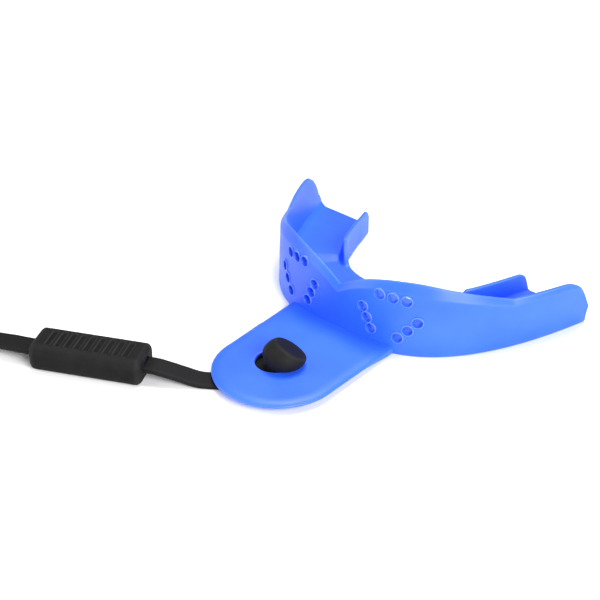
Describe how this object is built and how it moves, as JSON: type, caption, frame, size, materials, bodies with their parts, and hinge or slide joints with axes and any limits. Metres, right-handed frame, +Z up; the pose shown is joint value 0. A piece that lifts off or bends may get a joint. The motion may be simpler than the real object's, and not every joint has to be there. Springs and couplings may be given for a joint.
{
  "type": "mouthguard with tether",
  "caption": "Perforated sports mouthguard tray with a front tab, tied by a rubber knob to a flat breakaway tether with a release sleeve and a helmet loop.",
  "frame": {"origin": "middle of the tray's footprint, on the surface it stands on", "axes": "+Z up, +Y towards the back of the mouth, -Y along the tab, +X across the arch"},
  "size_m": [0.1655, 0.0885, 0.0158],
  "materials": {
    "guard_plastic": "satin, slightly translucent thermoplastic",
    "tether_rubber": "matte",
    "strap_rubber": "matte, extruded"
  },
  "bodies": {
    "guard": {"tray": "guard_plastic"},
    "knob": {"knob": "tether_rubber"},
    "front_tether": {"strap_eye": "tether_rubber", "front_strap": "strap_rubber", "release_plug": "tether_rubber"},
    "rear_tether": {"release_sleeve": "tether_rubber", "rear_anchor": "tether_rubber", "rear_strap": "strap_rubber", "helmet_loop": "tether_rubber"}
  },
  "joints": [
    {"name": "knob_slide", "type": "slide", "parent": "guard", "child": "knob", "axis": [1, 0, 0], "range_m": [-0.0024, 0.0001]},
    {"name": "tether_swivel", "type": "hinge", "parent": "knob", "child": "front_tether", "pos_m": [0.00015, -0.0203, 0.0005], "axis": [0, 0, 1], "range_deg": [-45, 135]},
    {"name": "sleeve_release", "type": "slide", "parent": "front_tether", "child": "rear_tether", "axis": [-0.9041, -0.4274, 0], "range_m": [0, 0.014]}
  ]
}
